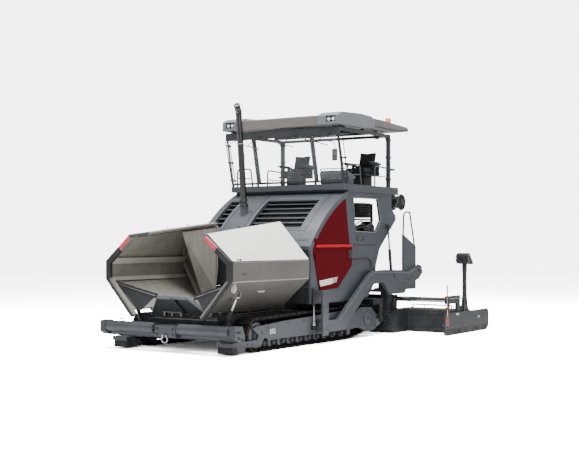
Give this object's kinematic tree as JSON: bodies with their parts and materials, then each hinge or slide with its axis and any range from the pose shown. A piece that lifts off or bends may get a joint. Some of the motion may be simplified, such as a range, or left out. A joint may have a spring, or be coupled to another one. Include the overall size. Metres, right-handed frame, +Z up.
{
  "type": "tracked asphalt paver",
  "caption": "Tracked asphalt paver with a folding front hopper, push rollers, covered operator platform, augers, and a towed screed that widens to both sides.",
  "frame": {"origin": "middle of the footprint on the ground, under the machine's centre", "axes": "-Y is the way the machine drives (hopper end), +X is its left side, +Z is up"},
  "size_m": [4.61, 6.8, 4.0705],
  "materials": {
    "blue_grey_paint": "satin blue-grey paint",
    "dark_frame_paint": "matt dark grey paint",
    "cream_paint": "satin off-white paint, scuffed inside",
    "red_paint": "satin dark red paint",
    "track_steel": "dark worn steel",
    "bare_steel": "dull bare steel",
    "chrome": "polished",
    "black_paint": "satin black paint",
    "black_plastic": "matt black",
    "seat_cover": "black vinyl-coated cloth",
    "rubber": "matt dark rubber",
    "dark_trim": "satin dark grey paint",
    "light_grey_paint": "satin light grey paint",
    "screed_grey": "satin dark grey paint",
    "glass": "clear",
    "orange_lens": "translucent orange lens"
  },
  "bodies": {
    "tractor": {"chassis": "dark_frame_paint", "slat_conveyor": "bare_steel", "track_left": "track_steel", "track_right": "track_steel", "track_frame_left": "blue_grey_paint", "track_frame_right": "blue_grey_paint", "engine_block": "dark_frame_paint", "hood": "blue_grey_paint", "grille_left": "black_plastic", "grille_right": "black_plastic", "side_panel_left": "blue_grey_paint", "side_panel_right": "blue_grey_paint", "operator_platform": "blue_grey_paint", "canopy_roof": "light_grey_paint", "canopy_frame": "dark_trim", "windscreen": "glass", "beacon": "orange_lens", "auger_mount": "dark_frame_paint"},
    "console": {"console": "dark_trim"},
    "exhaust": {"exhaust_pipe": "chrome"},
    "hose_reel": {"hose_reel": "black_plastic"},
    "hopper_apron": {"hopper_apron": "blue_grey_paint"},
    "push_bar": {"push_bar": "blue_grey_paint"},
    "tow_points": {"tow_point_left": "bare_steel", "tow_point_right": "bare_steel"},
    "screed": {"screed_main": "screed_grey", "tow_arm_left": "blue_grey_paint", "tow_arm_right": "blue_grey_paint", "screed_steps_left": "blue_grey_paint", "screed_steps_right": "blue_grey_paint"},
    "side_door_left": {"side_door_left": "red_paint"},
    "seat_left": {"seat_base_left": "black_plastic", "seat_cushion_left": "seat_cover"},
    "auger_left": {"auger_left": "bare_steel"},
    "hopper_wing_left": {"hopper_wing_left": "cream_paint", "hopper_flap_left": "rubber"},
    "hopper_cylinder_left": {"hopper_cylinder_left": "black_paint"},
    "hopper_rod_left": {"hopper_rod_left": "chrome"},
    "push_roller_left": {"push_roller_left": "blue_grey_paint"},
    "lift_rod_left": {"lift_rod_left": "chrome"},
    "lift_cylinder_left": {"lift_cylinder_left": "black_paint"},
    "screed_extension_left": {"screed_extension_left": "screed_grey", "control_box_left": "dark_trim"},
    "end_gate_left": {"end_gate_left": "screed_grey"},
    "side_door_right": {"side_door_right": "red_paint"},
    "seat_right": {"seat_base_right": "black_plastic", "seat_cushion_right": "seat_cover"},
    "auger_right": {"auger_right": "bare_steel"},
    "hopper_wing_right": {"hopper_wing_right": "cream_paint", "hopper_flap_right": "rubber"},
    "hopper_cylinder_right": {"hopper_cylinder_right": "black_paint"},
    "hopper_rod_right": {"hopper_rod_right": "chrome"},
    "push_roller_right": {"push_roller_right": "blue_grey_paint"},
    "lift_rod_right": {"lift_rod_right": "chrome"},
    "lift_cylinder_right": {"lift_cylinder_right": "black_paint"},
    "screed_extension_right": {"screed_extension_right": "screed_grey", "control_box_right": "dark_trim"},
    "end_gate_right": {"end_gate_right": "screed_grey"}
  },
  "joints": [
    {"name": "console_slide", "type": "slide", "parent": "tractor", "child": "console", "axis": [-1, 0, 0], "range_m": [0, 1.68]},
    {"name": "exhaust_fold", "type": "hinge", "parent": "tractor", "child": "exhaust", "pos_m": [-0.54, -0.685, 2.26], "axis": [1, 0, 0], "range_deg": [0, 85]},
    {"name": "hose_reel_spin", "type": "hinge", "parent": "tractor", "child": "hose_reel", "pos_m": [0.98, 2, 2.4], "axis": [1, 0, 0], "continuous": true},
    {"name": "hopper_apron_fold", "type": "hinge", "parent": "tractor", "child": "hopper_apron", "pos_m": [0, -3, 0.54], "axis": [1, 0, 0], "range_deg": [0, 35]},
    {"name": "push_bar_swing", "type": "hinge", "parent": "tractor", "child": "push_bar", "pos_m": [0, -3.1, 0.36], "axis": [0, 0, 1], "range_deg": [-4, 4]},
    {"name": "tow_point_lift", "type": "slide", "parent": "tractor", "child": "tow_points", "axis": [0, 0, 1], "range_m": [0, 0.2]},
    {"name": "screed_lift", "type": "hinge", "parent": "tow_points", "child": "screed", "pos_m": [0, -0.92, 0.29], "axis": [1, 0, 0], "range_deg": [0, 9]},
    {"name": "side_door_left_swing", "type": "hinge", "parent": "tractor", "child": "side_door_left", "pos_m": [1.193, -1.03, 1.2], "axis": [0, 0, -1], "range_deg": [0, 100]},
    {"name": "seat_left_turn", "type": "hinge", "parent": "tractor", "child": "seat_left", "pos_m": [0.72, 1.32, 2.6], "axis": [0, 0, 1], "range_deg": [-30, 30]},
    {"name": "auger_left_spin", "type": "hinge", "parent": "tractor", "child": "auger_left", "pos_m": [0.09, 1.24, 0.31], "axis": [1, 0, 0], "continuous": true},
    {"name": "hopper_wing_left_fold", "type": "hinge", "parent": "tractor", "child": "hopper_wing_left", "pos_m": [0.68, -3.31, 0.62], "axis": [0, 1, 0], "range_deg": [0, 35]},
    {"name": "hopper_cylinder_left_swing", "type": "hinge", "parent": "tractor", "child": "hopper_cylinder_left", "pos_m": [0.815, -2.945, 0.37], "axis": [0, 1, 0], "range_deg": [0, 25.94]},
    {"name": "hopper_rod_left_stroke", "type": "slide", "parent": "hopper_cylinder_left", "child": "hopper_rod_left", "axis": [0.4124, 0, 0.911], "range_m": [-0.1572, 0]},
    {"name": "push_roller_left_spin", "type": "hinge", "parent": "push_bar", "child": "push_roller_left", "pos_m": [0.23, -3.316, 0.36], "axis": [1, 0, 0], "continuous": true},
    {"name": "lift_rod_left_swing", "type": "hinge", "parent": "tractor", "child": "lift_rod_left", "pos_m": [1.213, 1.4, 1.95], "axis": [1, 0, 0], "range_deg": [-10.96, 0]},
    {"name": "lift_cylinder_left_stroke", "type": "slide", "parent": "lift_rod_left", "child": "lift_cylinder_left", "axis": [0, -0.1461, 0.9893], "range_m": [0, 0.3837]},
    {"name": "screed_extension_left_slide", "type": "slide", "parent": "screed", "child": "screed_extension_left", "axis": [1, 0, 0], "range_m": [-1, 0.25]},
    {"name": "end_gate_left_lift", "type": "slide", "parent": "screed_extension_left", "child": "end_gate_left", "axis": [0, 0, 1], "range_m": [0, 0.12]},
    {"name": "side_door_right_swing", "type": "hinge", "parent": "tractor", "child": "side_door_right", "pos_m": [-1.193, -1.03, 1.2], "axis": [0, 0, 1], "range_deg": [0, 100]},
    {"name": "seat_right_turn", "type": "hinge", "parent": "tractor", "child": "seat_right", "pos_m": [-0.72, 1.32, 2.6], "axis": [0, 0, 1], "range_deg": [-30, 30]},
    {"name": "auger_right_spin", "type": "hinge", "parent": "tractor", "child": "auger_right", "pos_m": [-0.09, 1.24, 0.31], "axis": [1, 0, 0], "continuous": true},
    {"name": "hopper_wing_right_fold", "type": "hinge", "parent": "tractor", "child": "hopper_wing_right", "pos_m": [-0.68, -3.31, 0.62], "axis": [0, -1, 0], "range_deg": [0, 35]},
    {"name": "hopper_cylinder_right_swing", "type": "hinge", "parent": "tractor", "child": "hopper_cylinder_right", "pos_m": [-0.815, -2.945, 0.37], "axis": [0, -1, 0], "range_deg": [0, 25.94]},
    {"name": "hopper_rod_right_stroke", "type": "slide", "parent": "hopper_cylinder_right", "child": "hopper_rod_right", "axis": [-0.4124, 0, 0.911], "range_m": [-0.1572, 0]},
    {"name": "push_roller_right_spin", "type": "hinge", "parent": "push_bar", "child": "push_roller_right", "pos_m": [-0.23, -3.316, 0.36], "axis": [1, 0, 0], "continuous": true},
    {"name": "lift_rod_right_swing", "type": "hinge", "parent": "tractor", "child": "lift_rod_right", "pos_m": [-1.213, 1.4, 1.95], "axis": [1, 0, 0], "range_deg": [-10.96, 0]},
    {"name": "lift_cylinder_right_stroke", "type": "slide", "parent": "lift_rod_right", "child": "lift_cylinder_right", "axis": [0, -0.1461, 0.9893], "range_m": [0, 0.3837]},
    {"name": "screed_extension_right_slide", "type": "slide", "parent": "screed", "child": "screed_extension_right", "axis": [-1, 0, 0], "range_m": [-1, 0.25]},
    {"name": "end_gate_right_lift", "type": "slide", "parent": "screed_extension_right", "child": "end_gate_right", "axis": [0, 0, 1], "range_m": [0, 0.12]}
  ],
  "couplings": [
    {"joint": "hopper_cylinder_left_swing", "follows": "hopper_wing_left_fold", "ratio": 0.7397},
    {"joint": "hopper_rod_left_stroke", "follows": "hopper_wing_left_fold", "m_per_rad": -0.2557},
    {"joint": "lift_rod_left_swing", "follows": "screed_lift", "ratio": -1.2124},
    {"joint": "lift_cylinder_left_stroke", "follows": "screed_lift", "m_per_rad": 2.4365},
    {"joint": "hopper_cylinder_right_swing", "follows": "hopper_wing_right_fold", "ratio": 0.7397},
    {"joint": "hopper_rod_right_stroke", "follows": "hopper_wing_right_fold", "m_per_rad": -0.2557},
    {"joint": "lift_rod_right_swing", "follows": "screed_lift", "ratio": -1.2124},
    {"joint": "lift_cylinder_right_stroke", "follows": "screed_lift", "m_per_rad": 2.4365}
  ]
}
